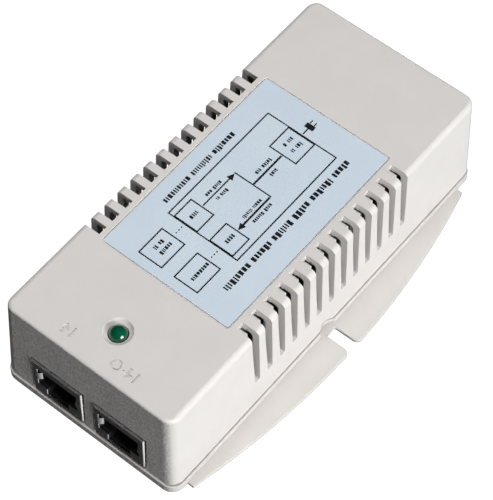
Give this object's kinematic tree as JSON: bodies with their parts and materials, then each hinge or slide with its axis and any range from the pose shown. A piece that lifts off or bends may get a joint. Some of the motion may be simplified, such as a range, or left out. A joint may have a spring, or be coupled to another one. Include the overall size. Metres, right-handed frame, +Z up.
{
  "type": "power over ethernet injector",
  "caption": "Boxy off-white power injector: shielded network jacks on one end, mains inlet on the other, vented sides, label, status lamp and screw-down wall ears.",
  "frame": {"origin": "middle of the base, on the surface that it stands on", "axes": "+Z up, +Y from the network jacks to the mains inlet, +X to the right when facing the same way as +Y"},
  "size_m": [0.072, 0.1228, 0.0335],
  "materials": {
    "case_plastic": "fine spark-eroded moulding texture",
    "label_film": "satin printed polyester film",
    "lamp_epoxy": "clear tinted epoxy",
    "tinned_wire": "bright tinned",
    "shield_tinplate": "bright nickel-plated sheet",
    "jack_plastic": "moulded",
    "gilt_contact": "gold flashed",
    "inlet_plastic": "moulded",
    "pin_brass": "nickel-plated",
    "board_laminate": "solder mask",
    "screw_steel": "zinc plated",
    "ferrite": "sintered",
    "bobbin_plastic": "moulded",
    "winding_tape": "polyester tape",
    "choke_wire": "enamelled copper",
    "heat_sink_aluminium": "extruded",
    "capacitor_sleeve": "shrink sleeve",
    "black_epoxy": "moulded epoxy",
    "filter_capacitor_case": "moulded box",
    "disc_ceramic": "lacquered",
    "fuse_glass": "clear tube"
  },
  "bodies": {
    "case": {"upper_shell": "case_plastic", "lower_shell": "case_plastic", "label": "label_film", "lamp_lens": "lamp_epoxy", "lamp_lead_anode": "tinned_wire", "lamp_lead_cathode": "tinned_wire", "jack_shield_in": "shield_tinplate", "jack_shield_out": "shield_tinplate", "jack_insert_in": "jack_plastic", "jack_insert_out": "jack_plastic", "inlet_body": "inlet_plastic", "inlet_pin_line": "pin_brass", "inlet_pin_neutral": "pin_brass", "inlet_pin_earth": "pin_brass", "circuit_board": "board_laminate", "case_screw_front_left": "screw_steel", "case_screw_front_right": "screw_steel", "case_screw_back_left": "screw_steel", "case_screw_back_right": "screw_steel", "transformer_core": "ferrite", "choke_core": "ferrite", "output_inductor": "ferrite", "transformer_bobbin": "bobbin_plastic", "transformer_winding": "winding_tape", "choke_winding_line": "choke_wire", "choke_winding_neutral": "choke_wire", "heat_sink_primary": "heat_sink_aluminium", "heat_sink_secondary": "heat_sink_aluminium", "bulk_capacitor": "capacitor_sleeve", "output_capacitor_front": "capacitor_sleeve", "output_capacitor_back": "capacitor_sleeve", "bridge_rectifier": "black_epoxy", "power_device_primary": "black_epoxy", "power_device_secondary": "black_epoxy", "controller_chip": "black_epoxy", "feedback_optocoupler": "black_epoxy", "network_transformer": "black_epoxy", "filter_capacitor": "filter_capacitor_case", "safety_capacitor": "disc_ceramic", "mains_fuse": "fuse_glass"},
    "contacts_in": {"contact_in_1": "gilt_contact", "contact_in_2": "gilt_contact", "contact_in_3": "gilt_contact", "contact_in_4": "gilt_contact", "contact_in_5": "gilt_contact", "contact_in_6": "gilt_contact", "contact_in_7": "gilt_contact", "contact_in_8": "gilt_contact"},
    "contacts_out": {"contact_out_1": "gilt_contact", "contact_out_2": "gilt_contact", "contact_out_3": "gilt_contact", "contact_out_4": "gilt_contact", "contact_out_5": "gilt_contact", "contact_out_6": "gilt_contact", "contact_out_7": "gilt_contact", "contact_out_8": "gilt_contact"}
  },
  "joints": [
    {"name": "contacts_in_flex", "type": "hinge", "parent": "case", "child": "contacts_in", "pos_m": [-0.0097, -0.05758, 0.01308], "axis": [1, 0, 0], "range_deg": [0, 9], "stiffness_Nm_per_rad": 0.02},
    {"name": "contacts_out_flex", "type": "hinge", "parent": "case", "child": "contacts_out", "pos_m": [0.0099, -0.05758, 0.01308], "axis": [1, 0, 0], "range_deg": [0, 9], "stiffness_Nm_per_rad": 0.02}
  ]
}
